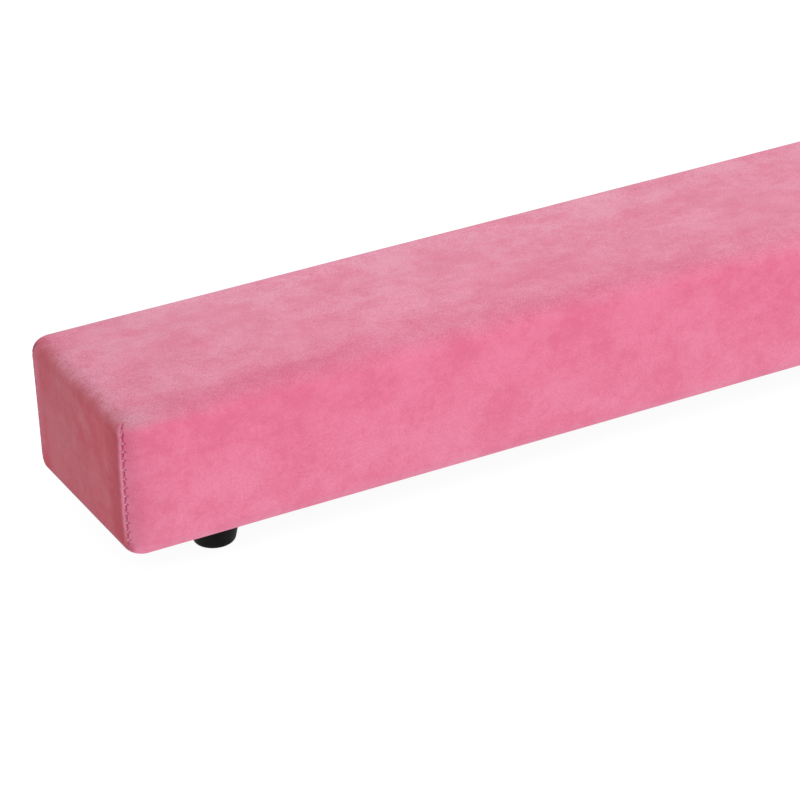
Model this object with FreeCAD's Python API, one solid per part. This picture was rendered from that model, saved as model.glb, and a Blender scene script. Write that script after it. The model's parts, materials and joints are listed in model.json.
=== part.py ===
import FreeCAD, Part
import math
import os

# Low floor balance beam, eight feet long, for practising gymnastics at home.
#
# A glued core of three plywood boards is padded with foam strips on the top, the sides and the ends.
# One cross-shaped piece of synthetic suede is pulled over the foam. It is sewn down the four upright
# corners, turned under the core and stapled. A black fabric cover closes the underside, and six round
# rubber feet are screwed through it into the core.
#
# Units are millimetres. The origin is on the floor under the middle of the beam, +X runs along the
# beam, -Y is the front and +Z is up. "left" is the -X end.

V = FreeCAD.Vector
UP = V(0, 0, 1)

# ---- driving dimensions ---------------------------------------------------------------------------
BEAM_LENGTH = 2438.4          # 8 ft
BEAM_WIDTH = 101.6            # 4 in, the width of a competition beam's top
BODY_HEIGHT = 63.5            # 2.5 in, the padded body without its feet
CORNER_RADIUS = 9.0           # upright corners of the padded body
TOP_RADIUS = 7.5              # roll of the top edges
BOTTOM_RADIUS = 6.5           # roll of the bottom edges

SUEDE = 0.9                   # thickness of the suede
HEM = 38.0                    # how far the suede is turned under the core
UNDERSIDE_COVER = 0.5         # thickness of the black underside fabric
UNDERSIDE_MARGIN = 7.0        # from the body's outline to the edge of that fabric

BOARD = 18.0                  # plywood thickness
BOARD_COUNT = 3
SIDE_FOAM = 7.4
END_FOAM = 7.5

FOOT_HEIGHT = 14.7
FOOT_TOP_RADIUS = 12.4
FOOT_BOTTOM_RADIUS = 8.9      # where the tapered side would meet the sole if it had no fillet
FOOT_RIM_FILLET = 2.4
FOOT_BORE_RADIUS = 4.5        # recess for the screw head
FOOT_BORE_DEPTH = 7.0
FOOT_FROM_END = 48.5          # foot's centre from the beam's end
FOOT_FROM_SIDE = 25.4         # foot's centre from the beam's side, 1 in

SCREW_LENGTH = 35.0           # foot screw, under its head
SCREW_RADIUS = 2.1
SCREW_HEAD_RADIUS = 3.8
SCREW_HEAD_HEIGHT = 2.8
# a pan head's outline from its face to its seat, in head radii and head heights
PAN_HEAD = ((0.72, 0), (0.93, 0.3), (1, 0.65), (1, 1))
SCREW_RECESS = (2.2, 0.9, 1.6)   # driver recess: reach of its arms, their width and the depth
SCREW_POINT = 2.5             # length of a screw's point, in shank radii
WASHER_RADIUS = 4.3
WASHER_THICKNESS = 1.2
RUNNING_GAP = 0.1             # round a screw in a hole that it passes through

CORE_SCREW_LENGTH = 45.0
CORE_SCREW_RADIUS = 2.0
CORE_SCREW_HEAD_RADIUS = 4.0
CORE_SCREW_RECESS = (2.4, 0.8, 1.5)
CORE_SCREW_COUNT = 9
CORE_SCREW_FROM_END = 90.0

WIRE_WIDTH = 1.0              # staple wire
WIRE_THICKNESS = 0.6
STAPLE_CROWN = 10.0
STAPLE_LEG = 8.0
# a ring of staples: inset from the outline, step along the sides, start from the ends, places across
COVER_STAPLES = (16.8, 50, 32, (-20, 0, 20))
UNDERSIDE_STAPLES = (12.5, 72, 24, (-27, 0, 27))
UNDERSIDE_CROWN_PROUD = 0.3   # how far those crowns stand out of the black fabric

SEAM_ANGLE = 58.0             # degrees round the upright corner, from the long side towards the end
SEAM_WIDTH = 0.7
SEAM_DEPTH = 0.55
STITCH_PITCH = 4.1
STITCH_LENGTH = 3.0
THREAD_RADIUS = 0.22

# ---- levels and sizes that follow -----------------------------------------------------------------
BODY_BOTTOM = FOOT_HEIGHT + UNDERSIDE_COVER
BODY_TOP = BODY_BOTTOM + BODY_HEIGHT
CORE_BOTTOM = BODY_BOTTOM + SUEDE
CORE_TOP = CORE_BOTTOM + BOARD * BOARD_COUNT
CORE_LENGTH = BEAM_LENGTH - 2 * (SUEDE + END_FOAM)
CORE_WIDTH = BEAM_WIDTH - 2 * (SUEDE + SIDE_FOAM)
HALF_LENGTH = BEAM_LENGTH / 2
HALF_WIDTH = BEAM_WIDTH / 2

SIDES = {"front": -1, "back": 1}
ENDS = {"left": -1, "right": 1}
FOOT_ROWS = {"left": -1, "middle": 0, "right": 1}


# ---- shape helpers --------------------------------------------------------------------------------
def box(low, high):
    """A box between two corners."""
    size = [high[k] - low[k] for k in range(3)]
    return Part.makeBox(*size, V(*low))


def level_edges(shape, z):
    """The edges that lie in the plane at height z."""
    return [e for e in shape.Edges if all(abs(v.Z - z) < 1e-6 for v in e.Vertexes)]


def upright_edges(shape):
    """The straight edges that run along Z."""
    return [
        e
        for e in shape.Edges
        if len(e.Vertexes) == 2
        and abs(e.Vertexes[0].X - e.Vertexes[1].X) < 1e-6
        and abs(e.Vertexes[0].Y - e.Vertexes[1].Y) < 1e-6
    ]


def padded_block(inset):
    """The padded body's outer form, or that form moved in by inset on every side."""
    low = (-HALF_LENGTH + inset, -HALF_WIDTH + inset, BODY_BOTTOM + inset)
    high = (HALF_LENGTH - inset, HALF_WIDTH - inset, BODY_TOP - inset)
    block = box(low, high)
    block = block.makeFillet(CORNER_RADIUS - inset, upright_edges(block))
    block = block.makeFillet(TOP_RADIUS - inset, level_edges(block, high[2]))
    return block.makeFillet(BOTTOM_RADIUS - inset, level_edges(block, low[2]))


def turned(points, centre):
    """A solid of revolution about the upright axis through centre, from (radius, z) points."""
    line = [V(r, 0, z) for r, z in points]
    face = Part.Face(Part.makePolygon(line + [line[0]]))
    solid = face.revolve(V(0, 0, 0), UP, 360)
    solid.translate(V(*centre))
    return solid


def cross_recess(centre, z, reach, width, depth):
    """The cross-shaped driver recess of a screw head whose face is at z, looking down."""
    x, y = centre
    along = box((x - reach, y - width / 2, z), (x + reach, y + width / 2, z + depth))
    across = box((x - width / 2, y - reach, z), (x + width / 2, y + reach, z + depth))
    return along.fuse(across)


def spread_evenly(reach, step):
    """Positions from -reach to reach, about step apart."""
    gaps = round(2 * reach / step)
    return [-reach + 2 * reach * i / gaps for i in range(gaps + 1)]


# ---- soft parts -----------------------------------------------------------------------------------
def foam_pads():
    """Five strips between the core and the suede. The top one lies over the other four."""
    inner = padded_block(SUEDE)
    half_core_length, half_core_width = CORE_LENGTH / 2, CORE_WIDTH / 2
    pads = {
        "foam_top_pad": inner.common(
            box((-HALF_LENGTH, -HALF_WIDTH, CORE_TOP), (HALF_LENGTH, HALF_WIDTH, BODY_TOP))
        )
    }
    for side, sign in SIDES.items():
        near, far = sorted((sign * half_core_width, sign * HALF_WIDTH))
        strip = box((-HALF_LENGTH, near, CORE_BOTTOM), (HALF_LENGTH, far, CORE_TOP))
        pads[f"foam_{side}_pad"] = inner.common(strip)
    for end, sign in ENDS.items():
        near, far = sorted((sign * half_core_length, sign * HALF_LENGTH))
        low, high = (near, -half_core_width, CORE_BOTTOM), (far, half_core_width, CORE_TOP)
        pads[f"foam_{end}_end_pad"] = inner.common(box(low, high))
    return pads


def seam_frame(end_sign, side_sign):
    """The seam's place on an upright corner, the outward direction there, and the one along the skin."""
    angle = math.radians(SEAM_ANGLE)
    outward = V(end_sign * math.sin(angle), side_sign * math.cos(angle), 0)
    centre = V(
        end_sign * (HALF_LENGTH - CORNER_RADIUS), side_sign * (HALF_WIDTH - CORNER_RADIUS), 0
    )
    along = V(-outward.y, outward.x, 0)
    return centre + outward * CORNER_RADIUS, outward, along


def seam_groove(end_sign, side_sign):
    """The narrow groove where two edges of the suede are drawn together by the seam."""
    place, outward, along = seam_frame(end_sign, side_sign)
    low, high = BODY_BOTTOM + BOTTOM_RADIUS, BODY_TOP - TOP_RADIUS
    start = place - along * (SEAM_WIDTH / 2) - outward * SEAM_DEPTH + UP * low
    corners = [
        start,
        start + along * SEAM_WIDTH,
        start + along * SEAM_WIDTH + outward * 2 * SEAM_DEPTH,
        start + outward * 2 * SEAM_DEPTH,
    ]
    face = Part.Face(Part.makePolygon(corners + [corners[0]]))
    return face.extrude(UP * (high - low))


def seam_thread(end_sign, side_sign):
    """The stitches of one corner seam, lying in its groove."""
    place, outward, _ = seam_frame(end_sign, side_sign)
    low, high = BODY_BOTTOM + BOTTOM_RADIUS, BODY_TOP - TOP_RADIUS
    count = int((high - low - STITCH_LENGTH) / STITCH_PITCH) + 1
    first = (low + high - (count - 1) * STITCH_PITCH - STITCH_LENGTH) / 2
    axis = place - outward * (SEAM_DEPTH / 2)
    stitches = [
        Part.makeCylinder(
            THREAD_RADIUS, STITCH_LENGTH, axis + UP * (first + i * STITCH_PITCH), UP
        )
        for i in range(count)
    ]
    return Part.makeCompound(stitches)


def suede_cover():
    """A skin over the foam with its hem turned under the core, open in the middle of the underside."""
    window = box(
        (-HALF_LENGTH + HEM, -HALF_WIDTH + HEM, BODY_BOTTOM - 1),
        (HALF_LENGTH - HEM, HALF_WIDTH - HEM, CORE_BOTTOM + 1),
    )
    grooves = [seam_groove(e, s) for e in ENDS.values() for s in SIDES.values()]
    return padded_block(0).cut([padded_block(SUEDE), window, *grooves])


def underside_cover():
    """The black fabric that hides the hem and the core from below."""
    reach_x, reach_y = HALF_LENGTH - UNDERSIDE_MARGIN, HALF_WIDTH - UNDERSIDE_MARGIN
    return box((-reach_x, -reach_y, FOOT_HEIGHT), (reach_x, reach_y, BODY_BOTTOM))


def clearance_hole(x, y):
    """The hole that a foot screw passes through in both fabrics."""
    return Part.makeCylinder(
        SCREW_RADIUS + RUNNING_GAP, CORE_BOTTOM - FOOT_HEIGHT, V(x, y, FOOT_HEIGHT), UP
    )


# ---- feet -----------------------------------------------------------------------------------------
def foot_places():
    """Each foot's name with its centre."""
    return {
        f"{row}_{side}": (
            along * (HALF_LENGTH - FOOT_FROM_END),
            across * (HALF_WIDTH - FOOT_FROM_SIDE),
        )
        for row, along in FOOT_ROWS.items()
        for side, across in SIDES.items()
    }


def rubber_foot(x, y):
    """A tapered round foot with a rounded rim and a recess for its screw."""
    hole = SCREW_RADIUS + RUNNING_GAP
    profile = [
        (FOOT_BORE_RADIUS, 0),
        (FOOT_BOTTOM_RADIUS, 0),
        (FOOT_TOP_RADIUS, FOOT_HEIGHT),
        (hole, FOOT_HEIGHT),
        (hole, FOOT_BORE_DEPTH),
        (FOOT_BORE_RADIUS, FOOT_BORE_DEPTH),
    ]
    foot = turned(profile, (x, y, 0))
    rim = [e for e in level_edges(foot, 0) if abs(e.Curve.Radius - FOOT_BOTTOM_RADIUS) < 1e-6]
    return foot.makeFillet(FOOT_RIM_FILLET, rim)


def foot_washer(x, y):
    """The flat steel washer at the bottom of the foot's recess."""
    z = FOOT_BORE_DEPTH - WASHER_THICKNESS
    ring = Part.makeCylinder(WASHER_RADIUS, WASHER_THICKNESS, V(x, y, z), UP)
    hole = Part.makeCylinder(SCREW_RADIUS + RUNNING_GAP, WASHER_THICKNESS, V(x, y, z), UP)
    return ring.cut(hole)


def foot_screw(x, y):
    """A pan-head wood screw, plain where its thread would be."""
    seat = FOOT_BORE_DEPTH - WASHER_THICKNESS
    face = seat - SCREW_HEAD_HEIGHT
    tip = seat + SCREW_LENGTH
    head = [(SCREW_HEAD_RADIUS * r, face + SCREW_HEAD_HEIGHT * h) for r, h in PAN_HEAD]
    profile = [
        (0, face),
        *head,
        (SCREW_RADIUS, seat),
        (SCREW_RADIUS, tip - SCREW_POINT * SCREW_RADIUS),
        (0, tip),
    ]
    return turned(profile, (x, y, 0)).cut(cross_recess((x, y), face, *SCREW_RECESS))


# ---- core -----------------------------------------------------------------------------------------
def core_screw_outline(x):
    """A countersunk wood screw with no driver recess: also the shape of its hole in the boards."""
    tip = CORE_BOTTOM + CORE_SCREW_LENGTH
    profile = [
        (0, CORE_BOTTOM),
        (CORE_SCREW_HEAD_RADIUS, CORE_BOTTOM),
        (CORE_SCREW_RADIUS, CORE_BOTTOM + CORE_SCREW_HEAD_RADIUS - CORE_SCREW_RADIUS),
        (CORE_SCREW_RADIUS, tip - SCREW_POINT * CORE_SCREW_RADIUS),
        (0, tip),
    ]
    return turned(profile, (x, 0, 0))


def core_board(index):
    """One plain board of the core, counted from the bottom."""
    low = CORE_BOTTOM + index * BOARD
    return box(
        (-CORE_LENGTH / 2, -CORE_WIDTH / 2, low), (CORE_LENGTH / 2, CORE_WIDTH / 2, low + BOARD)
    )


# ---- staples --------------------------------------------------------------------------------------
def staple(x, y, crown_bottom, along_x):
    """A square-cornered wire staple driven upwards; its crown runs along X or along Y."""
    half = STAPLE_CROWN / 2
    top, inner = crown_bottom + STAPLE_LEG, crown_bottom + WIRE_THICKNESS
    outline = [
        (-half, crown_bottom),
        (half, crown_bottom),
        (half, top),
        (half - WIRE_THICKNESS, top),
        (half - WIRE_THICKNESS, inner),
        (-half + WIRE_THICKNESS, inner),
        (-half + WIRE_THICKNESS, top),
        (-half, top),
    ]
    line = [V(a, -WIRE_WIDTH / 2, z) for a, z in outline]
    wire = Part.Face(Part.makePolygon(line + [line[0]])).extrude(V(0, WIRE_WIDTH, 0))
    if not along_x:
        wire.rotate(V(0, 0, 0), UP, 90)
    wire.translate(V(x, y, 0))
    return wire


def staple_ring(layout, crown_bottom):
    """Staples along both long sides and across both ends, set in from the body's outline."""
    inset, step, clear_of_corner, across_end = layout
    ring = [
        staple(x, sign * (HALF_WIDTH - inset), crown_bottom, True)
        for sign in SIDES.values()
        for x in spread_evenly(HALF_LENGTH - clear_of_corner, step)
    ]
    ring += [
        staple(sign * (HALF_LENGTH - inset), y, crown_bottom, False)
        for sign in ENDS.values()
        for y in across_end
    ]
    return ring


# ---- assembly -------------------------------------------------------------------------------------
def build():
    """Every node of the beam by name."""
    places = foot_places()
    foot_screws = [foot_screw(x, y) for x, y in places.values()]
    core_reach = HALF_LENGTH - CORE_SCREW_FROM_END
    core_places = spread_evenly(core_reach, 2 * core_reach / (CORE_SCREW_COUNT - 1))
    core_outlines = [core_screw_outline(x) for x in core_places]
    cover_staples = staple_ring(COVER_STAPLES, BODY_BOTTOM)
    underside_staples = staple_ring(UNDERSIDE_STAPLES, FOOT_HEIGHT - UNDERSIDE_CROWN_PROUD)

    nodes = foam_pads()
    fabric_holes = underside_staples + [clearance_hole(x, y) for x, y in places.values()]
    nodes["suede_cover"] = suede_cover().cut(cover_staples + fabric_holes)
    nodes["underside_cover"] = underside_cover().cut(fabric_holes)
    nodes["cover_staples"] = Part.makeCompound(cover_staples)
    nodes["underside_staples"] = Part.makeCompound(underside_staples)

    drilled = core_outlines + foot_screws
    nodes["core_board_bottom"] = core_board(0).cut(drilled + cover_staples + underside_staples)
    nodes["core_board_middle"] = core_board(1).cut(drilled)
    nodes["core_board_top"] = core_board(2).cut(drilled)
    recesses = [cross_recess((x, 0), CORE_BOTTOM, *CORE_SCREW_RECESS) for x in core_places]
    nodes["core_screws"] = Part.makeCompound(
        [outline.cut(recess) for outline, recess in zip(core_outlines, recesses)]
    )

    nodes["foot_screws"] = Part.makeCompound(foot_screws)
    nodes["foot_washers"] = Part.makeCompound([foot_washer(x, y) for x, y in places.values()])
    for name, (x, y) in places.items():
        nodes[f"rubber_foot_{name}"] = rubber_foot(x, y)

    for end, end_sign in ENDS.items():
        for side, side_sign in SIDES.items():
            nodes[f"seam_thread_{end}_{side}"] = seam_thread(end_sign, side_sign)
    return nodes


def main():
    os.makedirs("parts", exist_ok=True)
    for name, shape in sorted(build().items()):
        if not shape.isValid() or not shape.Solids:
            raise ValueError(f"{name} isn't a valid solid")
        shape.exportStep(f"parts/{name}.step")
        size = shape.BoundBox
        print(
            f"{name}: {len(shape.Solids)} solid(s), {shape.Volume / 1000:.1f} cm3, "
            f"{size.XLength:.1f} x {size.YLength:.1f} x {size.ZLength:.1f} mm"
        )


main()
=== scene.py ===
"""The looks of a low floor balance beam: pink suede over foam, stitched corners, small rubber feet.

Metres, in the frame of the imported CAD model: +X runs along the beam, -Y is its front, +Z is up.
The suede cover is one mesh made of columns round the beam's outline and rows up its side. A short
cloth simulation on a coarse copy gives it the crown of fabric pulled over foam, and the sewn corners
are shaped after that.
"""

import json
import math
from types import SimpleNamespace

import bpy
import numpy as np
from mathutils import Matrix, Vector, kdtree


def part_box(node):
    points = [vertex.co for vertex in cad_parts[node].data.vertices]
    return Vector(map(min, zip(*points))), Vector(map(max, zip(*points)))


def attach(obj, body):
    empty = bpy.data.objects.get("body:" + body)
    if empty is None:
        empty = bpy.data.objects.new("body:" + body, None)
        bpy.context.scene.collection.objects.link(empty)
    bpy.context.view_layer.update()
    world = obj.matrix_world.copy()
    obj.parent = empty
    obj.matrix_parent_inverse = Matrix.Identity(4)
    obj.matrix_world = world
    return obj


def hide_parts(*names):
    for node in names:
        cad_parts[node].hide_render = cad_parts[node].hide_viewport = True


MM = 0.001

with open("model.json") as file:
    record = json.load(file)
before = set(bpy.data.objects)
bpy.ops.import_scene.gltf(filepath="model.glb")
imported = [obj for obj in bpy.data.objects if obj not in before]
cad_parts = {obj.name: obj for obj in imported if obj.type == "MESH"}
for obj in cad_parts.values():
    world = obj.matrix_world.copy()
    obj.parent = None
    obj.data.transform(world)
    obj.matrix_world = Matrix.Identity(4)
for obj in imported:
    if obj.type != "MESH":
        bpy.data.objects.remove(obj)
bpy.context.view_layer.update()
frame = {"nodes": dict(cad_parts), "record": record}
SCENE = bpy.context.scene
SEED = 7

# ---- sizes, from the frame or as in the design -----------------------------------------------------
BODY_LOW, BODY_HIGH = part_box("suede_cover")
HALF_LENGTH = BODY_HIGH.x
HALF_WIDTH = BODY_HIGH.y
CORNER_RADIUS = 9.0 * MM
TOP_RADIUS = 7.5 * MM
BOTTOM_RADIUS = 6.5 * MM
SUEDE = 0.9 * MM
HEM = 38.0 * MM
HEM_UPPER_FACE = 8.0 * MM     # how much of the hem's hidden upper face the mesh has
HEM_EDGE = 0.2 * MM           # rounding of the hem's cut edge
TIGHTEST_TURN = 0.6 * MM      # smallest corner radius of the rows under the beam

SEAM_ANGLE = 58.0             # degrees round an upright corner, from the long side
SEAM_TOP = 1.3 * MM           # from the flat top down to where a seam starts
SEAM_FOOT = 4.6 * MM          # from the flat bottom up to where it ends
STITCH_PITCH = 4.1 * MM
STITCH_UNEVENNESS = 0.3 * MM
STITCHES_INSIDE = (1 * MM, 2 * MM)   # from the seam's foot and top to where the stitches may begin
THREAD_RADIUS = 0.13 * MM

FINEST_COLUMN = 0.22 * MM     # spacing of the cover's columns at a seam
FINE_REACH = 2.6 * MM         # how far from the seam they stay that close
COLUMN_GROWTH = 1.3           # each step's growth beyond that
COARSEST_AT_CORNER = 0.9 * MM
ROWS_PER_STITCH = 12
FAR_FROM_SEAM = 1.0           # the flat top's distance from any seam, as good as endless

CROWN_LIMIT = 0.2 * MM        # the most that simulated fabric may stand off the flat body
CROWN_FADE = (2 * MM, 14 * MM)   # distances from a seam between which the crown grows
CROWN_NEIGHBOURS = 5          # points of the coarse copy that each detailed point follows
CROWN_BLEND = 2 * MM          # added to their distances, so that the nearest one doesn't rule
HELD_BY_SEAM = 3 * MM         # how far each side of a seam the simulated fabric is fixed
SIM_FRAMES = 20
SIM_PRESSURE = 4.0
RIPPLE = 0.12 * MM            # slow unevenness of the whole cover
RIPPLE_WAVES = (0.09, 0.15, 0.23)

FOAM_VOXEL = 3.5 * MM
UNDERSIDE_FOLD = 10 * MM      # width of the underside fabric's turned-in edges
UNDERSIDE_EDGE = 0.3 * MM     # rounding of those edges
UNDERSIDE_GRID = (405, 19)    # its points lengthwise and across
UNDERSIDE_SAG = (0.55 * MM, 0.45 * MM)   # mean sag between staples, and how much it varies
UNDERSIDE_WAVES = (0.06, 0.085, 0.13, 0.21)
SLACK_FROM_EDGE = (6 * MM, 18 * MM)   # distances between which that fabric comes free of its edge
SLACK_FROM_FOOT = (1 * MM, 16 * MM)   # and of a foot


# ---- small helpers ---------------------------------------------------------------------------------
def bell(x, centre, width):
    """A smooth bump, 1 at the centre."""
    return np.exp(-(((x - centre) / width) ** 2))


def ramp(x, low, high):
    """0 below low, 1 above high, smooth between them. low may be the larger one."""
    t = np.clip((x - low) / (high - low), 0, 1)
    return t * t * (3 - 2 * t)


def waves(x, y, lengths, seed):
    """Soft unevenness between about -1 and 1: a few sines of the given wavelengths."""
    rng = np.random.default_rng(seed)
    total = np.zeros(np.broadcast(x, y).shape)
    for length in lengths:
        turn, phase = rng.uniform(0, 2 * math.pi, 2)
        total = total + np.sin(
            2 * math.pi * (x * math.cos(turn) + y * math.sin(turn)) / length + phase
        )
    return total / len(lengths)


def new_object(name, vertices, faces):
    """A smooth mesh object from lists of vertices and faces."""
    mesh = bpy.data.meshes.new(name)
    mesh.from_pydata([tuple(v) for v in vertices], [], faces)
    mesh.update()
    mesh.shade_smooth()
    piece = bpy.data.objects.new(name, mesh)
    SCENE.collection.objects.link(piece)
    return piece


def evaluated(piece):
    """An object as its modifiers or curve settings shape it."""
    return piece.evaluated_get(bpy.context.evaluated_depsgraph_get())


def read_points(mesh):
    """A mesh's vertices as an array."""
    points = np.empty(len(mesh.vertices) * 3)
    mesh.vertices.foreach_get("co", points)
    return points.reshape(-1, 3)


def add_attribute(mesh, name, values):
    """A number for each vertex that a material can read."""
    layer = mesh.attributes.new(name, "FLOAT", "POINT")
    layer.data.foreach_set("value", np.asarray(values, dtype=np.float32))


# ---- the suede cover's grid ------------------------------------------------------------------------
def corner_stations(finest):
    """Distances from the seam along an upright corner's arc, closest together at the seam.
    Negative ones are on the side panel, positive ones on the end panel."""
    coarsest = max(finest, COARSEST_AT_CORNER)
    stations = [0.0]
    for sign, angle in ((-1, SEAM_ANGLE), (1, 90 - SEAM_ANGLE)):
        reach = math.radians(angle) * CORNER_RADIUS
        distance, step = 0.0, finest
        while distance + 1.5 * step < reach:
            distance += step
            stations.append(sign * distance)
            if distance > FINE_REACH:
                step = min(step * COLUMN_GROWTH, coarsest)
        stations.append(sign * reach)
    return sorted(stations)


def outline_columns(along_step, across_step, finest):
    """The columns round the beam, anticlockwise from the middle of the right end, as arrays.
    tx, ty: place along the straight part of the outline, from -1 to 1. nx, ny: outward direction.
    seam: distance from the nearest seam along the outline."""
    stations = corner_stations(finest)
    end_half, side_half = HALF_WIDTH - CORNER_RADIUS, HALF_LENGTH - CORNER_RADIUS
    quarter = []
    end_count = round(end_half / across_step)
    for i in range(end_count):
        share = i / end_count
        quarter.append((1, share, 1, 0, stations[-1] + end_half * (1 - share)))
    for station in reversed(stations):
        angle = math.radians(SEAM_ANGLE) + station / CORNER_RADIUS
        quarter.append((1, 1, math.sin(angle), math.cos(angle), station))
    side_count = round(side_half / along_step)
    for i in range(1, side_count + 1):
        share = 1 - i / side_count
        quarter.append((share, 1, 0, 1, stations[0] - side_half * (1 - share)))
    quarter = np.array(quarter)
    back_half = np.vstack([quarter, (quarter * [-1, 1, -1, 1, 1])[-2::-1]])
    ring = np.vstack([back_half, (back_half * [1, -1, 1, -1, 1])[-2:0:-1]])
    return ring.T


def profile_rows(wall_step, round_steps, hem_step):
    """The rows from the hem's inner edge, out under the beam and up the side to the flat top.
    Each row is (inset from the outline, height, outward share and upward share of its direction)."""
    low, high = BODY_LOW.z, BODY_HIGH.z
    rows = [
        (HEM - HEM_UPPER_FACE, low + SUEDE, 0, 1),
        (HEM - HEM_EDGE, low + SUEDE, 0, 1),
        (HEM, low + SUEDE / 2, -1, 0),
        (HEM - HEM_EDGE, low, 0, -1),
    ]
    hem_count = round((HEM - BOTTOM_RADIUS) / hem_step)
    for i in range(1, hem_count):
        rows.append((HEM - (HEM - BOTTOM_RADIUS) * i / hem_count, low, 0, -1))
    for i in range(round_steps):
        turn = math.pi / 2 * i / round_steps
        out, down = math.sin(turn), math.cos(turn)
        rows.append((BOTTOM_RADIUS * (1 - out), low + BOTTOM_RADIUS * (1 - down), out, -down))
    wall_low, wall_high = low + BOTTOM_RADIUS, high - TOP_RADIUS
    wall_count = round((wall_high - wall_low) / wall_step)
    for i in range(wall_count):
        rows.append((0, wall_low + (wall_high - wall_low) * i / wall_count, 1, 0))
    for i in range(round_steps + 1):
        turn = math.pi / 2 * i / round_steps
        out, up = math.cos(turn), math.sin(turn)
        rows.append((TOP_RADIUS * (1 - out), high - TOP_RADIUS * (1 - up), out, up))
    return np.array(rows).T


def cover_wall(columns, rows):
    """The points and outward directions where the columns round the beam cross the rows."""
    tx, ty, nx, ny, _ = columns
    inset, height, out, up = rows[:, :, None]
    radius = np.maximum(CORNER_RADIUS - inset, TIGHTEST_TURN)
    x = tx * (HALF_LENGTH - inset - radius) + nx * radius
    y = ty * (HALF_WIDTH - inset - radius) + ny * radius
    points = np.stack([x, y, np.broadcast_to(height, x.shape)], -1)
    directions = np.stack([out * nx, out * ny, np.broadcast_to(up, x.shape)], -1)
    return points, directions


def cover_faces(tx, ty, row_count):
    """The faces of the wall, of the flat top's own grid, and of the rim that joins them."""
    column_count = len(tx)
    following = [(c + 1) % column_count for c in range(column_count)]
    faces = []
    for r in range(row_count - 1):
        low, high = r * column_count, (r + 1) * column_count
        faces += [(low + c, low + n, high + n, high + c) for c, n in enumerate(following)]

    xs, ys = np.unique(tx), np.unique(ty)
    first = row_count * column_count
    for i in range(len(xs) - 1):
        for j in range(len(ys) - 1):
            a, b = first + i * len(ys) + j, first + (i + 1) * len(ys) + j
            faces.append((a, b, b + 1, a + 1))
    border = first + np.searchsorted(xs, tx) * len(ys) + np.searchsorted(ys, ty)
    last = (row_count - 1) * column_count
    for c, n in enumerate(following):
        edge = [last + c, last + n, int(border[n]), int(border[c])]
        faces.append(tuple(dict.fromkeys(edge)))
    return faces


def cover_grid(along_step, across_step, finest, wall_step, round_steps, hem_step):
    """The cover's taut shape. Returns its points, their outward directions, its faces, and each
    point's distance from the nearest seam."""
    columns = outline_columns(along_step, across_step, finest)
    rows = profile_rows(wall_step, round_steps, hem_step)
    tx, ty, seam = columns[0], columns[1], columns[4]
    wall, direction = cover_wall(columns, rows)
    top_x, top_y = np.meshgrid(
        np.unique(tx) * (HALF_LENGTH - CORNER_RADIUS),
        np.unique(ty) * (HALF_WIDTH - CORNER_RADIUS),
        indexing="ij",
    )
    top = np.stack([top_x, top_y, np.full(top_x.shape, BODY_HIGH.z)], -1).reshape(-1, 3)
    row_count = rows.shape[1]
    points = np.vstack([wall.reshape(-1, 3), top])
    directions = np.vstack([direction.reshape(-1, 3), np.tile([0.0, 0.0, 1.0], (len(top), 1))])
    seams = np.concatenate([np.tile(seam, row_count), np.full(len(top), FAR_FROM_SEAM)])
    return points, directions, cover_faces(tx, ty, row_count), seams


# ---- cloth -----------------------------------------------------------------------------------------
def add_cloth(cage, held):
    """Stretchy fabric pressed outwards by the foam, with no weight, fixed at the held vertices."""
    pinned = cage.vertex_groups.new(name="held")
    pinned.add([int(i) for i in np.nonzero(held)[0]], 1.0, "REPLACE")
    cloth = cage.modifiers.new("cloth", "CLOTH")
    settings = cloth.settings
    settings.quality = 5
    settings.mass = 0.3
    settings.tension_stiffness = 60
    settings.compression_stiffness = 60
    settings.shear_stiffness = 30
    settings.bending_stiffness = 2
    settings.use_pressure = True
    settings.uniform_pressure_force = SIM_PRESSURE
    settings.vertex_group_mass = pinned.name
    settings.effector_weights.gravity = 0
    cloth.collision_settings.use_collision = False


def simulate_crown():
    """Pulls a coarse copy of the cover over pressing foam with Blender's cloth. Returns the copy's
    points at rest and how far each one moved."""
    points, _, faces, seams = cover_grid(
        along_step=14 * MM,
        across_step=8 * MM,
        finest=2.5 * MM,
        wall_step=6 * MM,
        round_steps=3,
        hem_step=8 * MM,
    )
    cage = new_object("cover_cage", points, faces)
    under = points[:, 2] < BODY_LOW.z + BOTTOM_RADIUS
    near_seam = (np.abs(seams) < HELD_BY_SEAM) & (points[:, 2] < BODY_HIGH.z - TOP_RADIUS)
    add_cloth(cage, under | near_seam)
    for number in range(1, SIM_FRAMES + 1):
        SCENE.frame_set(number)
    moved = read_points(evaluated(cage).to_mesh()) - points
    cage.to_mesh_clear()
    SCENE.frame_set(1)
    bpy.data.objects.remove(cage)

    length = np.linalg.norm(moved, axis=1)
    limit = CROWN_LIMIT * np.tanh(length / CROWN_LIMIT)
    return points, moved * (limit / np.maximum(length, 1e-9))[:, None]


def crown_for(points):
    """The simulated movement at other points, blended from the nearest points of the coarse copy."""
    rest, moved = simulate_crown()
    tree = kdtree.KDTree(len(rest))
    for i, point in enumerate(rest):
        tree.insert(point, i)
    tree.balance()
    result = np.empty_like(points)
    for i, point in enumerate(points):
        found = tree.find_n(point, CROWN_NEIGHBOURS)
        weight = np.array([1 / (distance + CROWN_BLEND) ** 2 for _, _, distance in found])
        near = moved[[index for _, index, _ in found]]
        result[i] = (near * weight[:, None]).sum(0) / weight.sum()
    return result


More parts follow.
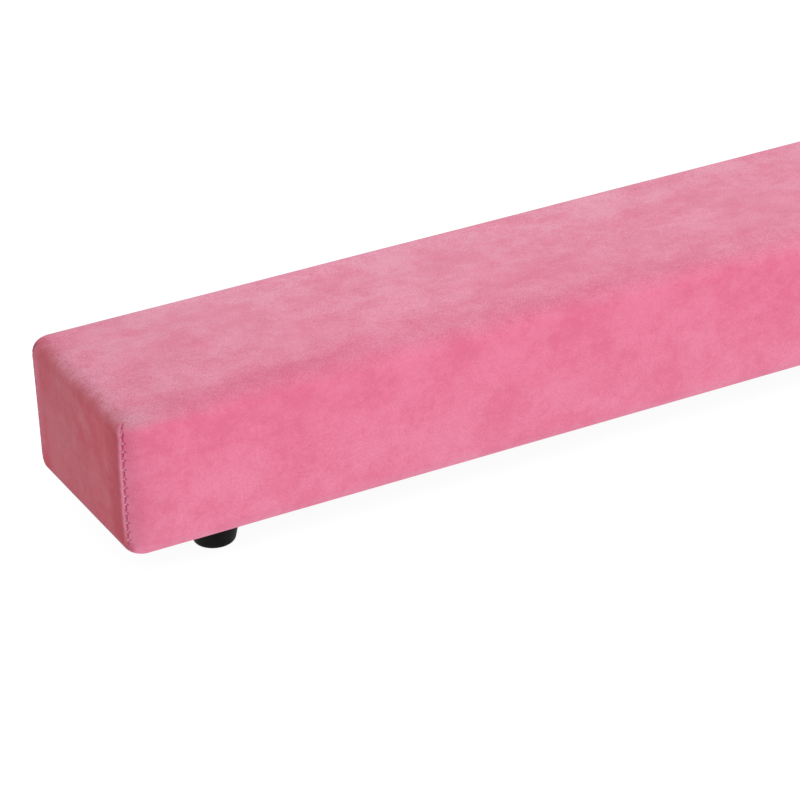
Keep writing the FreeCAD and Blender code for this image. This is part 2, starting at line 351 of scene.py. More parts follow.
# ---- seams -----------------------------------------------------------------------------------------
# A seam runs off its straight line towards the end panel: (height above the flat bottom, lean), mm.
FRONT_LEAN = ((4, 0.9), (8, 0.6), (38, 0.0), (55, -0.75), (58, -0.25), (61, 0.3))
BACK_LEAN = ((8, 3.5), (40, 3.6), (52, 3.8), (61, 3.9))
LEAN_WANDER = 0.35            # mm, unevenness of that line
LEAN_WAVES = (5 * MM, 9 * MM, 17 * MM)
FADE_AT_TOP = 2 * MM          # stretch in which a seam starts, below its top end
FADE_AT_FOOT = 2.5 * MM       # and above its foot

# Heights and depths of a corner seam's features, in mm. The back seams lie flatter.
LIP_FRONT, LIP_BACK = 0.40, 0.16     # the rolled edge of the end panel
LIP_DRAWN_IN = 0.3            # share by which each stitch flattens the lip
LIP_CREST = 0.75              # from the gap to the lip's crest
LIP_WAVES = (2.3 * MM, 3.7 * MM, 6.1 * MM)   # unevenness up the lip
HOLLOW = 0.18                 # the shallow hollow beyond the lip
GAP = 0.65                    # the gap between the panels
SCALLOP = 0.20                # the side panel's edge, puffed up between two stitches
BITE = 0.30                   # and pulled down by each one
PUCKER = 0.4                  # creases where the side panel turns under the beam
PUCKER_RISES = (3.4, 5.2, 7.2)
PEAK = 0.35                   # the peak of the top at a back seam

# One stitch of the thread, in mm: distance from the gap, height from the stitch, stand-off from the
# skin. It comes up through the gap, crosses the lip into its crease in the side panel and dives back.
STITCH_ROUTE = (
    (-0.05, -1.9, -0.75),
    (-0.05, -0.9, -0.70),
    (0.55, -0.35, 0.26),
    (0.10, -0.15, 0.22),
    (-0.60, 0.0, -0.06),
    (-0.15, 0.25, -0.20),
    (-0.05, 0.9, -0.70),
    (-0.05, 1.9, -0.75),
)
BACK_THREAD_SUNK = 0.15       # mm deeper in a back seam


def stitch_heights():
    """The height of each stitch up a corner seam."""
    from_foot, from_top = STITCHES_INSIDE
    low, high = BODY_LOW.z + SEAM_FOOT + from_foot, BODY_HIGH.z - SEAM_TOP - from_top
    count = int((high - low) / STITCH_PITCH)
    start = high - count * STITCH_PITCH
    return [
        start + STITCH_PITCH * (i + 0.5) + STITCH_UNEVENNESS * math.sin(5.1 * i)
        for i in range(count)
    ]


def seam_lean(height, at_back):
    """How far a hand-guided seam runs off its straight line, towards the end panel."""
    rise = (height - BODY_LOW.z) / MM
    lean = np.where(at_back, np.interp(rise, *zip(*BACK_LEAN)), np.interp(rise, *zip(*FRONT_LEAN)))
    wander = LEAN_WANDER * waves(height, 0 * height, LEAN_WAVES, SEED + 3)
    return (lean + wander) * MM


def seam_fade(height):
    """1 along a corner seam and 0 beyond its ends."""
    high, low = BODY_HIGH.z - SEAM_TOP, BODY_LOW.z + SEAM_FOOT
    return ramp(height, high, high - FADE_AT_TOP) * ramp(height, low, low + FADE_AT_FOOT)


def stitch_bells(height, width):
    """1 at the height of each stitch, falling to 0 between them."""
    return sum(bell(height, z, width) for z in stitch_heights())


def lip_shape(seam, height):
    """The rolled edge of the end panel along a seam: a little uneven, and lower near its foot. It
    falls steeply into the gap and slowly, in two widths, towards the panel."""
    uneven = waves(height, 0 * seam, LIP_WAVES, SEED + 2)
    above_foot = ramp(height, BODY_LOW.z + SEAM_FOOT, BODY_LOW.z + 18 * MM)
    crest = (LIP_CREST - 0.14 * uneven) * MM
    towards_panel = 0.75 * bell(seam, crest, 1.05 * MM) + 0.25 * bell(seam, crest, 2.2 * MM)
    roll = np.where(seam < crest, bell(seam, crest, 0.55 * MM), towards_panel)
    return roll * (0.4 + 0.6 * above_foot + 0.15 * uneven)


def bite_shape(seam, height):
    """The small creases in the side panel's edge, one at each stitch."""
    return bell(seam, -0.8 * MM, 0.65 * MM) * stitch_bells(height, 0.35 * MM)


def gap_shape(seam, height):
    """The narrow gap between the panels, widest between two stitches."""
    return bell(seam, -0.1 * MM, 0.34 * MM) * (1 - 0.55 * stitch_bells(height, 0.6 * MM))


def seam_relief(seam, height, at_back):
    """How far the suede stands out of its taut shape at a corner seam."""
    at_stitch = stitch_bells(height, 0.9 * MM)
    scallop = bell(seam, -0.9 * MM, 0.6 * MM) * (1 - at_stitch)
    lip = np.where(at_back, LIP_BACK, LIP_FRONT) * lip_shape(seam, height)
    return seam_fade(height) * MM * (
        lip * (1 - LIP_DRAWN_IN * at_stitch)
        - HOLLOW * bell(seam, 4.2 * MM, 1.8 * MM)
        - GAP * gap_shape(seam, height)
        + np.where(at_back, 0, SCALLOP * scallop - BITE * bite_shape(seam, height))
    )


def corner_puckers(seam, height):
    """Small slanting creases in the side panel where it turns under the beam, beside a seam."""
    rise = (height - BODY_LOW.z) / MM
    reach = ramp(seam, -9 * MM, -1 * MM) * ramp(seam, 1.5 * MM, -0.5 * MM)
    slant = 0.09 * seam / MM
    return -PUCKER * MM * reach * sum(bell(rise, at + slant, 0.5) for at in PUCKER_RISES)


def top_corner_peak(seam, height, at_back):
    """The small peak where the top meets a back seam."""
    rise = (height - BODY_LOW.z) / MM
    peak = bell(seam, -2.0 * MM, 4.0 * MM) * bell(rise, 61.5, 3.0)
    return PEAK * MM * np.where(at_back, peak, 0)


def seam_place(end_sign, side_sign, seam, height, stand_off):
    """A point near a corner seam, from its distance along the skin, its height and its stand-off."""
    angle = math.radians(SEAM_ANGLE) + seam / CORNER_RADIUS
    reach = CORNER_RADIUS + stand_off
    x = HALF_LENGTH - CORNER_RADIUS + reach * math.sin(angle)
    y = HALF_WIDTH - CORNER_RADIUS + reach * math.cos(angle)
    return Vector((end_sign * x, side_sign * y, height))


def thread_route(at_back):
    """One corner's thread as (seam distance, height, stand-off)."""
    sunk = BACK_THREAD_SUNK if at_back else 0.0
    route = []
    for z in stitch_heights():
        for seam, rise, stand_off in STITCH_ROUTE:
            height = z + rise * MM
            route.append((seam * MM + seam_lean(height, at_back), height, (stand_off - sunk) * MM))
    return route


def seam_thread(end, end_sign, side, side_sign):
    """The thread of one corner seam, as a mesh tube on a smooth curve."""
    name = f"corner_stitching_{end}_{side}"
    curve = bpy.data.curves.new(name, "CURVE")
    curve.dimensions = "3D"
    curve.bevel_depth = THREAD_RADIUS
    curve.bevel_resolution = 2
    curve.resolution_u = 3
    curve.use_fill_caps = True
    route = thread_route(side == "back")
    spline = curve.splines.new("NURBS")
    spline.points.add(len(route) - 1)
    for point, place in zip(spline.points, route):
        point.co = (*seam_place(end_sign, side_sign, *place), 1)
    spline.order_u = 3
    spline.use_endpoint_u = True
    holder = bpy.data.objects.new(name, curve)
    SCENE.collection.objects.link(holder)
    mesh = bpy.data.meshes.new_from_object(evaluated(holder))
    bpy.data.objects.remove(holder)
    mesh.name = name
    mesh.shade_smooth()
    piece = bpy.data.objects.new(name, mesh)
    SCENE.collection.objects.link(piece)
    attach(piece, "root")
    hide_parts(f"seam_thread_{end}_{side}")
    return piece


# ---- the suede cover -------------------------------------------------------------------------------
def add_suede_attributes(mesh, points, directions, seams):
    """Numbers the suede's material reads: where a point is on the cover and how near a seam.
    Those that are places are in mm, and the others run from 0 to 1 or, for upward, from -1."""
    height, upward, at_back = points[:, 2], directions[:, 2], points[:, 1] > 0
    over_rounding = TOP_RADIUS * np.arcsin(np.clip(upward, 0, 1))
    from_front = points[:, 1] + HALF_WIDTH - TOP_RADIUS
    from_end = HALF_LENGTH - np.abs(points[:, 0]) - TOP_RADIUS
    past_seam = ramp(seams, 0.0 * MM, 0.5 * MM)
    on_seam = seam_fade(height) * (np.abs(seams) < 30 * MM)

    # above the seam's top, the end panel is told by the way the skin faces
    level = np.maximum(np.hypot(directions[:, 0], directions[:, 1]), 1e-6)
    facing_end = ramp(np.abs(directions[:, 0]) / level, 0.6, 0.95)
    above_seam = ramp(height, BODY_HIGH.z - 4.5 * MM, BODY_HIGH.z - 1.5 * MM)

    # The band beside a seam on the end panel, where the material paints shade.
    band = ramp(seams, 1.5 * MM, 3.5 * MM) * ramp(seams, 16 * MM, 6 * MM) * past_seam * on_seam
    above_foot = ramp(height, BODY_LOW.z + SEAM_FOOT, BODY_LOW.z + 15 * MM)
    # How strongly the lip's painted highlight shows.
    lip_highlight_strength = np.where(at_back, 0.35, 0.3 + 0.7 * above_foot)
    # Where shade is painted at a front seam's foot.
    at_foot = bell(height, BODY_LOW.z + 4.2 * MM, 3.0 * MM)
    values = {
        "upward": upward,
        "rise": (height - BODY_LOW.z) / MM,
        "over_front": (over_rounding + np.maximum(from_front, 0)) / MM,
        "over_end": (over_rounding + np.maximum(from_end, 0)) / MM,
        "end_panel": past_seam * (1 - above_seam) + facing_end * above_seam,
        # The next three mark painted shade: beside a seam on the end and side panels, and under the
        # end's bottom edge.
        "end_seam_shade": band * np.where(at_back, 0.2, 1),
        "end_under_shade": ramp(-upward, 0.3, 0.6) * ramp(seams, 0.5 * MM, 9 * MM),
        "side_seam_shade": ramp(seams, -20 * MM, -1 * MM) * (1 - past_seam) * on_seam,
        # The next five mark the lip's painted highlight and the painted shade in a seam's gap, its
        # bites, at its foot and along a back seam.
        "seam_lip_highlight": np.clip(lip_shape(seams, height), 0, 1) * on_seam * lip_highlight_strength,
        "seam_gap_shade": gap_shape(seams, height) * on_seam,
        "seam_bite_shade": bite_shape(seams, height) * on_seam,
        "seam_foot_shade": bell(seams, -0.6 * MM, 2.2 * MM) * at_foot * (1 - at_back),
        "back_seam_shade": bell(seams, -0.7 * MM, 1.1 * MM) * on_seam * at_back,
    }
    for name, numbers in values.items():
        add_attribute(mesh, name, numbers)


def suede_cover():
    """The detailed cover: taut over the body, crowned by the foam and worked at its seams."""
    points, directions, faces, seams = cover_grid(
        along_step=16 * MM,
        across_step=5 * MM,
        finest=FINEST_COLUMN,
        wall_step=STITCH_PITCH / ROWS_PER_STITCH,
        round_steps=7,
        hem_step=6 * MM,
    )
    height, at_back = points[:, 2], points[:, 1] > 0
    crown = np.maximum((crown_for(points) * directions).sum(1), 0)
    crown = crown * ramp(np.abs(seams), *CROWN_FADE)
    seams = seams - seam_lean(height, at_back)
    relief = seam_relief(seams, height, at_back) + corner_puckers(seams, height)
    relief += top_corner_peak(seams, height, at_back)
    ripple = RIPPLE * waves(points[:, 0], height + points[:, 1], RIPPLE_WAVES, SEED)
    above_turn = height > BODY_LOW.z + BOTTOM_RADIUS
    shaped = points + directions * (crown + relief + ripple * above_turn)[:, None]
    piece = new_object("suede_cover_skin", shaped, faces)
    add_suede_attributes(piece.data, points, directions, seams)
    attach(piece, "root")
    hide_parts("suede_cover")
    return piece


# ---- foam ------------------------------------------------------------------------------------------
def foam_pad(node):
    """A foam strip with soft edges, just inside the space of its CAD solid."""
    mesh = frame["nodes"][node].data.copy()
    piece = bpy.data.objects.new(node.replace("foam_", "foam_strip_"), mesh)
    SCENE.collection.objects.link(piece)
    remesh = piece.modifiers.new("remesh", "REMESH")
    remesh.mode = "VOXEL"
    remesh.voxel_size = FOAM_VOXEL
    relax = piece.modifiers.new("relax", "SMOOTH")
    relax.factor = 0.5
    relax.iterations = 2
    shaped = bpy.data.meshes.new_from_object(evaluated(piece))
    piece.modifiers.clear()
    piece.data = shaped
    shaped.materials.clear()
    shaped.shade_smooth()
    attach(piece, "root")
    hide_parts(node)
    return piece


# ---- underside fabric ------------------------------------------------------------------------------
def underside_slack(x, y, high):
    """Where the underside fabric is free to sag: 1 in the open, 0 at its edges and round the feet."""
    from_edge = np.minimum(high.y - np.abs(y), high.x - np.abs(x))
    slack = ramp(from_edge, *SLACK_FROM_EDGE)
    held_to, free_from = SLACK_FROM_FOOT
    for node in frame["nodes"]:
        if node.startswith("rubber_foot_"):
            foot_low, foot_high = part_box(node)
            centre, radius = (foot_low + foot_high) / 2, (foot_high.x - foot_low.x) / 2
            away = np.hypot(x - centre.x, y - centre.y)
            slack = slack * ramp(away, radius + held_to, radius + free_from)
    return slack


def underside_sheet():
    """The black fabric, slack between its staples and flat under the feet, its edges folded in."""
    low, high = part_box("underside_cover")
    length_count, inner_count = UNDERSIDE_GRID
    inner_low, inner_high = low.y + UNDERSIDE_EDGE, high.y - UNDERSIDE_EDGE
    front_fold = [low.y + UNDERSIDE_FOLD, inner_low, low.y]
    back_fold = [high.y, inner_high, high.y - UNDERSIDE_FOLD]
    folded_z, turn_z = high.z - 0.05 * MM, (low.z + high.z) / 2
    y = np.array([*front_fold, *np.linspace(inner_low, inner_high, inner_count), *back_fold])
    z = np.array([folded_z, folded_z, turn_z, *[low.z] * inner_count, turn_z, folded_z, folded_z])
    x_grid, y_grid = np.meshgrid(np.linspace(low.x, high.x, length_count), y, indexing="ij")
    mean_sag, varied = UNDERSIDE_SAG
    sag = mean_sag + varied * waves(x_grid, y_grid, UNDERSIDE_WAVES, SEED + 1)
    lower_layer = z == low.z
    z_grid = z - np.where(lower_layer, sag * underside_slack(x_grid, y_grid, high), 0)

    count = len(y)
    faces = [
        (i * count + j, i * count + j + 1, (i + 1) * count + j + 1, (i + 1) * count + j)
        for i in range(length_count - 1)
        for j in range(count - 1)
    ]
    points = np.stack([x_grid, y_grid, z_grid], -1).reshape(-1, 3)
    piece = new_object("underside_fabric", points, faces)
    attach(piece, "root")
    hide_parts("underside_cover")
    return piece


# ---- materials -------------------------------------------------------------------------------------
WHITE = (1, 1, 1)
MIX_COLOUR_A, MIX_COLOUR_B, MIX_COLOUR_RESULT = 6, 7, 2   # a Mix node's colour sockets by place


class Look:
    """A material with one Principled shader, and short ways to add nodes to it."""

    def __init__(self, name, **constants):
        self.material = bpy.data.materials.new(name)
        self.material.use_nodes = True
        self.tree = self.material.node_tree
        self.shader = self.tree.nodes["Principled BSDF"]
        for socket, value in constants.items():
            self.shader.inputs[socket.replace("_", " ")].default_value = value

    def link(self, source, target):
        self.tree.links.new(source, target)

    def feed(self, socket, value):
        """Gives a socket another node's output, a number or a colour."""
        if isinstance(value, bpy.types.NodeSocket):
            self.link(value, socket)
        elif isinstance(value, (int, float)):
            socket.default_value = value
        else:
            socket.default_value = (*value, 1)

    def place(self, scale=(1, 1, 1)):
        """The object's own coordinates in metres, stretched along each axis."""
        coordinates = self.tree.nodes.new("ShaderNodeTexCoord")
        mapping = self.tree.nodes.new("ShaderNodeMapping")
        mapping.inputs["Scale"].default_value = scale
        self.link(coordinates.outputs["Object"], mapping.inputs["Vector"])
        return mapping.outputs["Vector"]

    def noise(self, per_metre, place, detail=3.0, roughness=0.55, distortion=0.0):
        node = self.tree.nodes.new("ShaderNodeTexNoise")
        node.inputs["Scale"].default_value = per_metre
        node.inputs["Detail"].default_value = detail
        node.inputs["Roughness"].default_value = roughness
        node.inputs["Distortion"].default_value = distortion
        self.link(place, node.inputs["Vector"])
        return node.outputs["Fac"]

    def voronoi(self, per_metre, place):
        node = self.tree.nodes.new("ShaderNodeTexVoronoi")
        node.inputs["Scale"].default_value = per_metre
        self.link(place, node.inputs["Vector"])
        return node.outputs["Distance"]

    def attribute(self, name):
        node = self.tree.nodes.new("ShaderNodeAttribute")
        node.attribute_name = name
        return node.outputs["Fac"]

    def spread(self, value, low, high, to_low=0.0, to_high=1.0):
        """to_low up to low, to_high from high on, and smooth between them."""
        node = self.tree.nodes.new("ShaderNodeMapRange")
        node.interpolation_type = "SMOOTHSTEP"
        node.inputs["From Min"].default_value = low
        node.inputs["From Max"].default_value = high
        node.inputs["To Min"].default_value = to_low
        node.inputs["To Max"].default_value = to_high
        self.link(value, node.inputs["Value"])
        return node.outputs["Result"]

    def vary(self, noise, to_low=0.0, to_high=1.0):
        """A noise's usual range spread between two values."""
        return self.spread(noise, 0.3, 0.7, to_low, to_high)

    def maths(self, operation, first, second):
        node = self.tree.nodes.new("ShaderNodeMath")
        node.operation = operation
        self.feed(node.inputs[0], first)
        self.feed(node.inputs[1], second)
        return node.outputs["Value"]

    def mix(self, share, a, b):
        """Colour a where share is 0 and colour b where it is 1."""
        node = self.tree.nodes.new("ShaderNodeMix")
        node.data_type = "RGBA"
        self.feed(node.inputs["Factor"], share)
        self.feed(node.inputs[MIX_COLOUR_A], a)
        self.feed(node.inputs[MIX_COLOUR_B], b)
        return node.outputs[MIX_COLOUR_RESULT]

    def times(self, a, b):
        """Two colours multiplied."""
        product = self.mix(1.0, a, b)
        product.node.blend_type = "MULTIPLY"
        return product

    def tint(self, colour, share, tint):
        """The colour alone where share is 0, and multiplied by the tint where it is 1."""
        return self.times(colour, self.mix(share, WHITE, tint))

    def bump(self, *layers):
        """Bumps from (height, depth in metres) pairs, one on top of the other."""
        normal = None
        for height, depth in layers:
            node = self.tree.nodes.new("ShaderNodeBump")
            node.inputs["Strength"].default_value = 1.0
            node.inputs["Distance"].default_value = depth
            self.link(height, node.inputs["Height"])
            if normal is not None:
                self.link(normal, node.inputs["Normal"])
            normal = node.outputs["Normal"]
        self.link(normal, self.shader.inputs["Normal"])

    def base(self, colour):
        self.link(colour, self.shader.inputs["Base Color"])

    def rough(self, value):
        self.link(value, self.shader.inputs["Roughness"])


def suede_fields(look):
    """What the suede's colours are mixed by: noises and the cover's own measures, which are in mm."""
    place = look.place((0.85, 1, 1))
    over_front = look.attribute("over_front")
    return SimpleNamespace(
        stretches=look.noise(11, look.place(), detail=2),
        patches=look.noise(22, place, detail=2),
        clouds=look.noise(45, place, detail=6, roughness=0.82),
        brushed=look.noise(48, look.place((0.6, 1, 1)), detail=5, roughness=0.6, distortion=0.4),
        grain=look.noise(1950, look.place(), detail=2, roughness=0.7),
        upward=look.attribute("upward"),
        rise=look.attribute("rise"),
        over_front=over_front,
        over_end=look.attribute("over_end"),
        far_back=look.spread(over_front, 56, 84),
    )


def suede_side(look, at):
    """The long sides: clear pink, a little paler low down and where they turn under, as painted light
    from the floor, and duller beside a seam, as painted shade.
    """
    # The lower tone is paler than the upper one: painted light reflected up from the floor.
    low, high = (0.707, 0.187, 0.302), (0.707, 0.163, 0.278)
    # Beside a seam the side is darkened as painted shade; where it turns under, it is lightened as
    # painted light from the floor.
    painted_shade_beside_seam, painted_shading_turned_under = (0.90, 0.92, 0.905), (1.0, 1.09, 1.06)
    side = look.mix(look.spread(at.rise, 0, 60), low, high)
    side = look.tint(side, look.attribute("side_seam_shade"), painted_shade_beside_seam)
    return look.tint(side, look.spread(at.upward, 0.05, -0.35), painted_shading_turned_under)


def suede_top(look, at):
    """The top: paler than the sides as painted sheen, paler towards the back as painted light, brushed
    in streaks, with a deeper pink front edge whose width wanders, a duller end, and corners of their
    own."""
    # Both top tones are paler and greyer than the sides' pink: painted sheen; the back one more so:
    # painted light.
    by_front, by_back_painted_light = (0.675, 0.218, 0.320), (0.680, 0.258, 0.360)
    front_edge, edge_by_end = (0.655, 0.172, 0.278), (0.640, 0.202, 0.300)
    streak, by_end, end_rim = (0.99, 0.86, 0.90), (0.93, 0.96, 0.95), (0.90, 0.98, 0.93)
    front_corner, back_corner = (1.0, 1.2, 1.13), (0.96, 0.79, 0.82)

    top = look.mix(look.spread(at.over_front, 10, 105), by_front, by_back_painted_light)
    top = look.tint(top, look.spread(at.brushed, 0.56, 0.34), streak)
    edge = look.mix(look.spread(at.over_end, 8, 50), edge_by_end, front_edge)
    wander = look.spread(at.stretches, 0.35, 0.65, -12, 10)
    top = look.mix(look.spread(look.maths("ADD", at.over_front, wander), 8, 24), edge, top)
    top = look.tint(top, look.spread(at.over_end, 18, 4), end_rim)
    top = look.tint(top, look.spread(at.over_end, 130, 0), by_end)
    near_front = look.spread(at.over_front, 36, 10)
    at_front = look.maths("MULTIPLY", near_front, look.spread(at.over_end, 34, 8))
    top = look.tint(top, at_front, front_corner)
    at_back = look.maths("MULTIPLY", at.far_back, look.spread(at.over_end, 30, 8))
    return look.tint(top, at_back, back_corner)


def suede_end(look, at):
    """The end panels, facing away from the light: ashen and brick-red patches, painted dark as shade.
    """
    # Both patch tones are far darker than the sides' pink: painted shade, as the ends face away from
    # the light.
    ash_in_painted_shade, brick_in_painted_shade = (0.437, 0.103, 0.134), (0.437, 0.066, 0.094)
    # The tone beside the seams is painted shade.
    painted_seam_shade, rim = (0.383, 0.050, 0.073), (0.440, 0.103, 0.127)
    low_down, far_back = (1, 0.87, 0.90), (1, 0.87, 0.89)
    # The turned-under and folded tints darken the end's bottom rounding where it faces down: painted
    # shade.
    painted_shading_turned_under, folded = (0.82, 0.94, 0.93), (0.55, 0.58, 0.58)

    blotches = look.maths("ADD", at.patches, at.clouds)
    end = look.mix(look.spread(blotches, 0.82, 1.18), brick_in_painted_shade, ash_in_painted_shade)
    end = look.mix(look.attribute("end_seam_shade"), end, painted_seam_shade)
    end = look.mix(look.spread(at.upward, 0.05, 0.6), end, rim)
    end = look.tint(end, look.spread(at.rise, 36, 12), low_down)
    end = look.tint(end, at.far_back, far_back)
    end = look.tint(end, look.spread(at.upward, 0.0, -0.3), painted_shading_turned_under)
    return look.tint(end, look.attribute("end_under_shade"), folded)


def suede_end_share(look, at):
    """How much of the end panels' colour a place has. It frays out where the end rolls into the top."""
    fringe = look.maths("ADD", look.vary(at.grain, -0.12, 0.12), at.upward)
    fringe = look.maths("ADD", fringe, look.vary(at.clouds, -0.10, 0.10))
    fringe = look.maths("SUBTRACT", fringe, look.spread(at.over_front, 60, 110, 0, 0.12))
    return look.maths("MULTIPLY", look.attribute("end_panel"), look.spread(fringe, 1.12, 0.42))


def suede_nap(look, at, colour):
    """Soft clouds where the nap lies another way, and fine hairs, which stand out most on the top."""
    cloud_dark, cloud_light = (0.965, 0.86, 0.89), (1.035, 1.14, 1.11)
    hair_dark, hair_light = (0.87, 0.69, 0.76), (1.13, 1.31, 1.24)
    clouds = look.mix(look.spread(at.clouds, 0.36, 0.64), cloud_dark, cloud_light)
    sharpness = look.spread(at.upward, 0.5, 1.0, 0.14, 0.33)
    stray = look.maths("MULTIPLY", look.spread(at.grain, 0.37, 0.63, -1, 1), sharpness)
    hairs = look.mix(look.maths("ADD", stray, 0.5), hair_dark, hair_light)
    return look.times(look.times(colour, clouds), hairs)


def suede_look():
    """Synthetic suede with a short brushed nap. Every panel and seam has its own tone, with painted
    light in it: sheen on the top, shade on the ends and in the seams, highlights on the seam lips.
    """
    seam_tones = {
        # The lip tone is a painted highlight; the foot, gap, bite and back-seam tones are painted
        # shade.
        "seam_lip_highlight": (0.665, 0.212, 0.318),
        "seam_foot_shade": (0.430, 0.085, 0.140),
        "seam_gap_shade": (0.460, 0.060, 0.150),
        "seam_bite_shade": (0.330, 0.035, 0.085),
        "back_seam_shade": (0.210, 0.050, 0.075),
    }
    look = Look(
        "pink_suede",
        Specular_IOR_Level=0.1,
        Sheen_Weight=0.15,
        Sheen_Roughness=0.5,
        Sheen_Tint=(1.0, 0.80, 0.86, 1),
    )
    at = suede_fields(look)
    # Top against sides: the top's paler colour is painted sheen.
    over_edge = look.maths("ADD", at.upward, look.vary(at.patches, -0.1, 0.1))
    colour = look.mix(look.spread(over_edge, 0.1, 0.9), suede_side(look, at), suede_top(look, at))
    colour = look.mix(suede_end_share(look, at), colour, suede_end(look, at))
    for name, tone in seam_tones.items():
        colour = look.mix(look.attribute(name), colour, tone)
    look.base(suede_nap(look, at, colour))
    look.rough(look.vary(at.grain, 0.88, 0.98))
    look.bump((at.clouds, 0.12 * MM), (at.grain, 0.06 * MM))
    return look.material


def thread_look():
    """Twisted polyester thread."""
    look = Look("pink_thread", Roughness=0.55, Sheen_Weight=0.3, Sheen_Roughness=0.4)
    twist = look.noise(2200, look.place((1, 1, 2.2)), detail=2)
    look.base(look.mix(look.spread(twist, 0.35, 0.65), (0.74, 0.27, 0.37), (0.95, 0.52, 0.62)))
    look.bump((twist, 0.08 * MM))
    return look.material


def foam_look():
    """Closed-cell foam: off-white with small cells."""
    look = Look("foam", Roughness=0.85)
    cells = look.voronoi(1400, look.place())
    tone = look.noise(60, look.place())
    look.base(look.mix(look.vary(tone), (0.82, 0.80, 0.73), (0.86, 0.85, 0.79)))
    look.bump((cells, 0.3 * MM))
    return look.material


def plywood_look():
    """Birch plywood: long grain on the faces and thin plies on the edges."""
    look = Look("plywood", Roughness=0.6)
    grain = look.noise(160, look.place((0.06, 1, 1)), detail=5, distortion=0.6)
    plies = look.tree.nodes.new("ShaderNodeTexWave")
    plies.bands_direction = "Z"
    plies.inputs["Scale"].default_value = 160
    plies.inputs["Distortion"].default_value = 0.6
    look.link(look.place(), plies.inputs["Vector"])
    wood = look.mix(look.vary(grain), (0.46, 0.29, 0.14), (0.69, 0.49, 0.28))
    look.base(look.mix(look.spread(plies.outputs["Fac"], 0.75, 1, 0, 0.45), wood, (0.33, 0.19, 0.09)))
    look.bump((grain, 0.15 * MM))
    return look.material


def black_fabric_look():
    """Thin non-woven fabric with its small pressed dimples."""
    look = Look("black_fabric", Specular_IOR_Level=0.25, Sheen_Weight=0.15, Sheen_Roughness=0.5)
    dimples = look.voronoi(620, look.place())
    fibres = look.noise(1500, look.place((0.4, 1, 1)), detail=4)
    look.base(look.mix(look.spread(fibres, 0.3, 0.75), (0.009, 0.009, 0.010), (0.030, 0.030, 0.033)))
    look.rough(look.vary(fibres, 0.78, 0.95))
    look.bump((look.spread(dimples, 0.1, 0.5), 0.12 * MM), (fibres, 0.06 * MM))
    return look.material


def rubber_look():
    """Moulded black rubber, a little dusty."""
    look = Look("black_rubber", Specular_IOR_Level=0.06)
    mottle = look.noise(900, look.place(), detail=4)
    dust = look.noise(130, look.place(), detail=3)
    look.base(look.mix(look.spread(dust, 0.45, 0.8), (0.0030, 0.0030, 0.0032), (0.008, 0.0076, 0.0076)))
    look.rough(look.vary(mottle, 0.42, 0.62))
    look.bump((mottle, 0.04 * MM))
    return look.material


def steel_look(name, dark, light, roughness):
    """Zinc-plated steel with faint blotches and fine scratches."""
    look = Look(name, Metallic=1.0)
    blotches = look.noise(700, look.place(), detail=4)
    scratches = look.noise(3000, look.place((0.1, 1, 1)), detail=2)
    look.base(look.mix(look.vary(blotches), dark, light))
    look.rough(look.vary(scratches, roughness - 0.08, roughness + 0.12))
    look.bump((scratches, 0.01 * MM))
    return look.material


def floor_look():
    """A matt white studio floor, lit from below like a light table, so shadows on it are very pale."""
    look = Look(
        "studio_floor",
        Roughness=0.95,
        Specular_IOR_Level=0.0,
        Emission_Color=(1, 1, 1, 1),
        Emission_Strength=0.94,
    )
    tone = look.noise(3, look.place())
    look.base(look.mix(look.vary(tone), (0.135, 0.135, 0.14), (0.145, 0.145, 0.15)))
    return look.material


def paint(piece, material):
    """Gives a piece this one material."""
    piece.data.materials.clear()
    piece.data.materials.append(material)


# ---- studio ----------------------------------------------------------------------------------------
CAMERA_AIM = Vector((-HALF_LENGTH + 127.0 * MM, -HALF_WIDTH, BODY_LOW.z + 40.9 * MM))
CAMERA_DISTANCE = 1.4598
CAMERA_AZIMUTH = math.radians(-26.70)
CAMERA_ELEVATION = math.radians(27.0)
CAMERA_ROLL = math.radians(-2.635)
CAMERA_LENS = 155.8           # focal length in mm
KEY_PLACE = Vector((2.2, -3.6, 5.6))
KEY_SIZE = 5.0
KEY_POWER = 235               # watts
ROOM_COLOUR = (1.0, 0.99, 0.985, 1)
ROOM_STRENGTH = 0.84
FLOOR_SIZE = 180              # so wide that its edge lies on the horizon


def aim_matrix(place, towards, roll=0.0):
    """A camera's or lamp's matrix at a place, looking at a point."""
    back = (place - towards).normalized()
    level = Vector((0, 0, 1)).cross(back).normalized()
    raised = back.cross(level)
    right = level * math.cos(roll) + raised * math.sin(roll)
    matrix = Matrix((right, back.cross(right), back)).transposed().to_4x4()
    matrix.translation = place
    return matrix


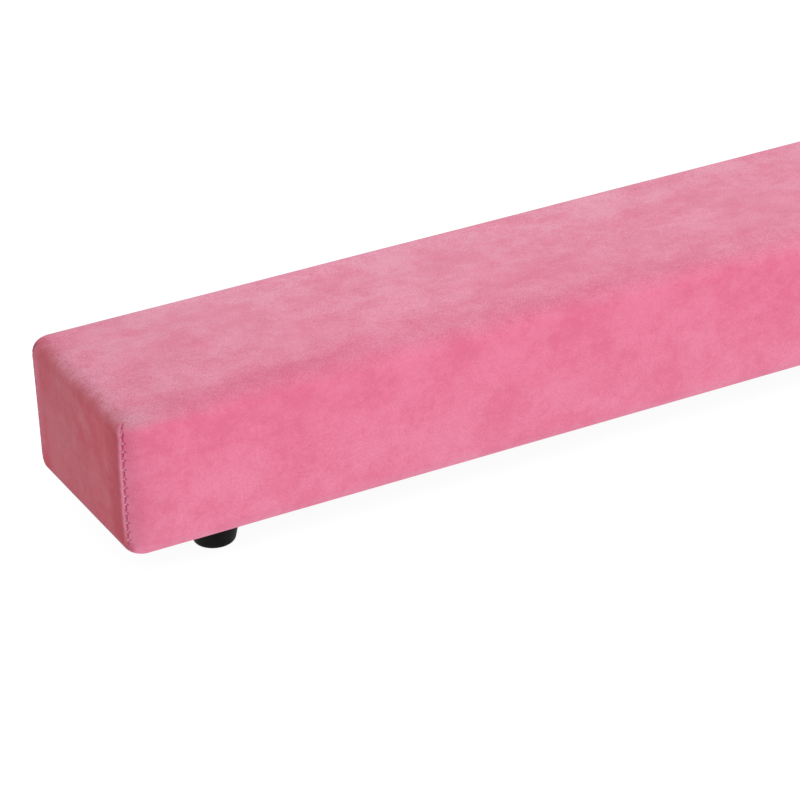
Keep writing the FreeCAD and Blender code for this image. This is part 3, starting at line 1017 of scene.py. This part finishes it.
def add_camera():
    """The camera of the main view, near the left end and above it."""
    flat = math.cos(CAMERA_ELEVATION)
    back = Vector(
        (
            math.sin(CAMERA_AZIMUTH) * flat,
            -math.cos(CAMERA_AZIMUTH) * flat,
            math.sin(CAMERA_ELEVATION),
        )
    )
    data = bpy.data.cameras.new("camera")
    data.lens = CAMERA_LENS
    camera = bpy.data.objects.new("camera", data)
    SCENE.collection.objects.link(camera)
    camera.matrix_world = aim_matrix(CAMERA_AIM + back * CAMERA_DISTANCE, CAMERA_AIM, CAMERA_ROLL)
    SCENE.camera = camera


def add_softbox(name, place, size, power):
    """A square white area lamp that points at the beam's middle."""
    data = bpy.data.lights.new(name, "AREA")
    data.size = size
    data.energy = power
    lamp = bpy.data.objects.new(name, data)
    SCENE.collection.objects.link(lamp)
    lamp.matrix_world = aim_matrix(place, Vector((0, 0, 0)))


def add_studio():
    """Pale floor, soft light from the right and above, and a bright even room."""
    bpy.ops.mesh.primitive_plane_add(size=FLOOR_SIZE, location=(0, 0, 0))
    floor = bpy.context.object
    floor.name = "studio_floor"
    paint(floor, floor_look())
    world = bpy.data.worlds.new("studio_room")
    world.use_nodes = True
    SCENE.world = world
    background = world.node_tree.nodes["Background"]
    background.inputs["Color"].default_value = ROOM_COLOUR
    background.inputs["Strength"].default_value = ROOM_STRENGTH
    add_softbox("key", KEY_PLACE, KEY_SIZE, KEY_POWER)
    SCENE.view_settings.view_transform = "Standard"


# ---- assembly --------------------------------------------------------------------------------------
def paint_nodes(looks):
    """Gives every CAD node its slot's material."""
    for entry in frame["record"]["subparts"]:
        paint(frame["nodes"][entry["node"]], looks[entry["material_slot"]])


def main():
    looks = {
        "pink_suede": suede_look(),
        "pink_thread": thread_look(),
        "foam": foam_look(),
        "plywood": plywood_look(),
        "black_fabric": black_fabric_look(),
        "black_rubber": rubber_look(),
        "zinc_steel": steel_look("zinc_steel", (0.55, 0.56, 0.58), (0.72, 0.72, 0.74), 0.34),
        "staple_wire": steel_look("staple_wire", (0.45, 0.46, 0.48), (0.62, 0.62, 0.64), 0.3),
    }
    paint_nodes(looks)
    paint(suede_cover(), looks["pink_suede"])
    for end, end_sign in (("left", -1), ("right", 1)):
        for side, side_sign in (("front", -1), ("back", 1)):
            paint(seam_thread(end, end_sign, side, side_sign), looks["pink_thread"])
    for node in sorted(frame["nodes"]):
        if node.startswith("foam_"):
            paint(foam_pad(node), looks["foam"])
    paint(underside_sheet(), looks["black_fabric"])
    add_studio()
    add_camera()


main()
